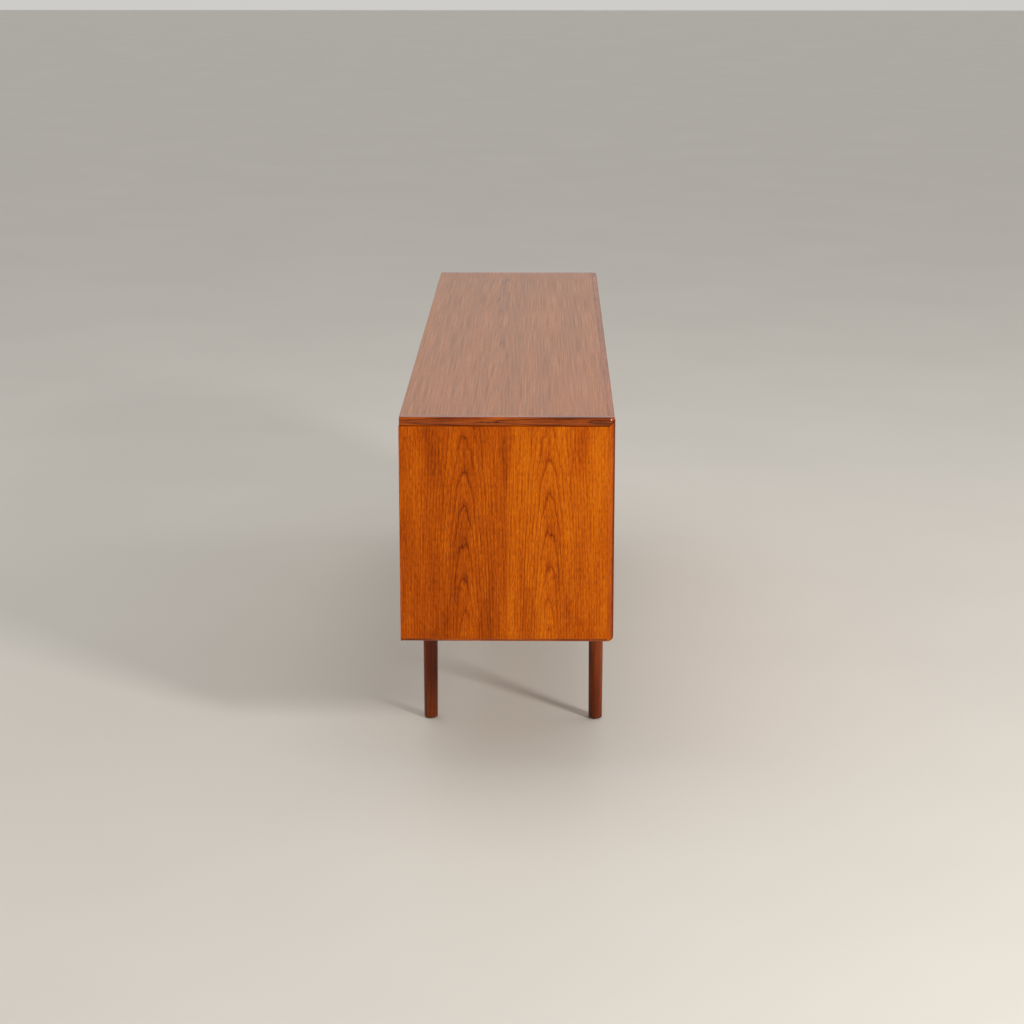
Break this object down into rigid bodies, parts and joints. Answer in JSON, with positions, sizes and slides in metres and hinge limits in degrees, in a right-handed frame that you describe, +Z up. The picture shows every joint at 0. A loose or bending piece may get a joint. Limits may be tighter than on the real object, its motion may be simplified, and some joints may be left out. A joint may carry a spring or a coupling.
{
  "type": "sideboard",
  "caption": "Long low teak sideboard on turned legs with a double-door cupboard, a drawer bank and a drop-down drinks flap on a sliding rod stay.",
  "frame": {"origin": "on the floor, under the middle of the carcass", "axes": "+X to the right seen from the front, +Y to the back, +Z up"},
  "size_m": [2.135, 0.46, 0.79],
  "materials": {
    "end_veneer": "satin",
    "front_veneer": "satin",
    "top_veneer": "satin",
    "solid_teak": "satin",
    "dark_teak": "satin",
    "inside_veneer": "matt",
    "plywood": "matt",
    "beech": "matt",
    "brass": "satin",
    "steel": "satin",
    "felt": "napped",
    "plastic": "matt"
  },
  "bodies": {
    "carcass": {"back_panel": "plywood", "bar_shelf": "inside_veneer", "bottom_front_lipping": "solid_teak", "bottom_panel": "inside_veneer", "cupboard_shelf": "inside_veneer", "cutlery_drawer_left_runner": "beech", "cutlery_drawer_right_runner": "beech", "left_cross_rail": "dark_teak", "left_divider": "inside_veneer", "left_end_lipping": "solid_teak", "left_end_panel": "end_veneer", "leg_front_left": "dark_teak", "leg_front_right": "dark_teak", "leg_rear_left": "dark_teak", "leg_rear_right": "dark_teak", "long_rail": "dark_teak", "middle_drawer_left_runner": "beech", "middle_drawer_right_runner": "beech", "right_cross_rail": "dark_teak", "right_divider": "inside_veneer", "right_end_lipping": "solid_teak", "right_end_panel": "end_veneer", "stay_post": "brass", "top_front_lipping": "solid_teak", "top_left_lipping": "solid_teak", "top_panel": "top_veneer", "top_right_lipping": "solid_teak"},
    "door_left": {"door_left_bottom_pin": "brass", "door_left_panel": "front_veneer", "door_left_pull": "solid_teak", "door_left_top_pin": "brass"},
    "door_right": {"door_right_bottom_pin": "brass", "door_right_panel": "front_veneer", "door_right_pull": "solid_teak", "door_right_top_pin": "brass"},
    "flap": {"flap_left_pin": "brass", "flap_panel": "front_veneer", "flap_pull": "solid_teak", "flap_right_pin": "brass", "flap_stay_lug": "brass"},
    "stay_rod_body": {"stay_rod": "brass"},
    "stay_eye_body": {"stay_eye": "brass"},
    "lower_drawer": {"lower_drawer_back": "inside_veneer", "lower_drawer_bottom": "plywood", "lower_drawer_front": "front_veneer", "lower_drawer_left_side": "inside_veneer", "lower_drawer_pull": "solid_teak", "lower_drawer_right_side": "inside_veneer"},
    "middle_drawer": {"middle_drawer_back": "inside_veneer", "middle_drawer_bottom": "plywood", "middle_drawer_front": "front_veneer", "middle_drawer_left_side": "inside_veneer", "middle_drawer_pull": "solid_teak", "middle_drawer_right_side": "inside_veneer"},
    "cutlery_drawer": {"cutlery_drawer_back": "inside_veneer", "cutlery_drawer_bottom": "plywood", "cutlery_drawer_front": "front_veneer", "cutlery_drawer_left_side": "inside_veneer", "cutlery_drawer_pull": "solid_teak", "cutlery_drawer_right_side": "inside_veneer"}
  },
  "joints": [
    {"name": "left_door_hinge", "type": "hinge", "parent": "carcass", "child": "door_left", "pos_m": [-1.037, -0.207, 0.542], "axis": [0, 0, -1], "range_deg": [0, 90]},
    {"name": "right_door_hinge", "type": "hinge", "parent": "carcass", "child": "door_right", "pos_m": [-0.208, -0.207, 0.542], "axis": [0, 0, 1], "range_deg": [0, 90]},
    {"name": "flap_hinge", "type": "hinge", "parent": "carcass", "child": "flap", "pos_m": [0.723, -0.207, 0.326], "axis": [1, 0, 0], "range_deg": [0, 90]},
    {"name": "stay_rod_pivot", "type": "hinge", "parent": "flap", "child": "stay_rod_body", "pos_m": [1.0305, -0.185, 0.526], "axis": [1, 0, 0], "range_deg": [-45, 0]},
    {"name": "stay_eye_swivel", "type": "hinge", "parent": "carcass", "child": "stay_eye_body", "pos_m": [1.0305, -0.05287, 0.45533], "axis": [1, 0, 0], "range_deg": [0, 45]},
    {"name": "lower_drawer_slide", "type": "slide", "parent": "carcass", "child": "lower_drawer", "axis": [0, -1, 0], "range_m": [0, 0.33]},
    {"name": "middle_drawer_slide", "type": "slide", "parent": "carcass", "child": "middle_drawer", "axis": [0, -1, 0], "range_m": [0, 0.33]},
    {"name": "cutlery_drawer_slide", "type": "slide", "parent": "carcass", "child": "cutlery_drawer", "axis": [0, -1, 0], "range_m": [0, 0.33]}
  ],
  "couplings": [
    {"joint": "stay_rod_pivot", "follows": "flap_hinge", "ratio": -0.5},
    {"joint": "stay_eye_swivel", "follows": "flap_hinge", "ratio": 0.5}
  ]
}
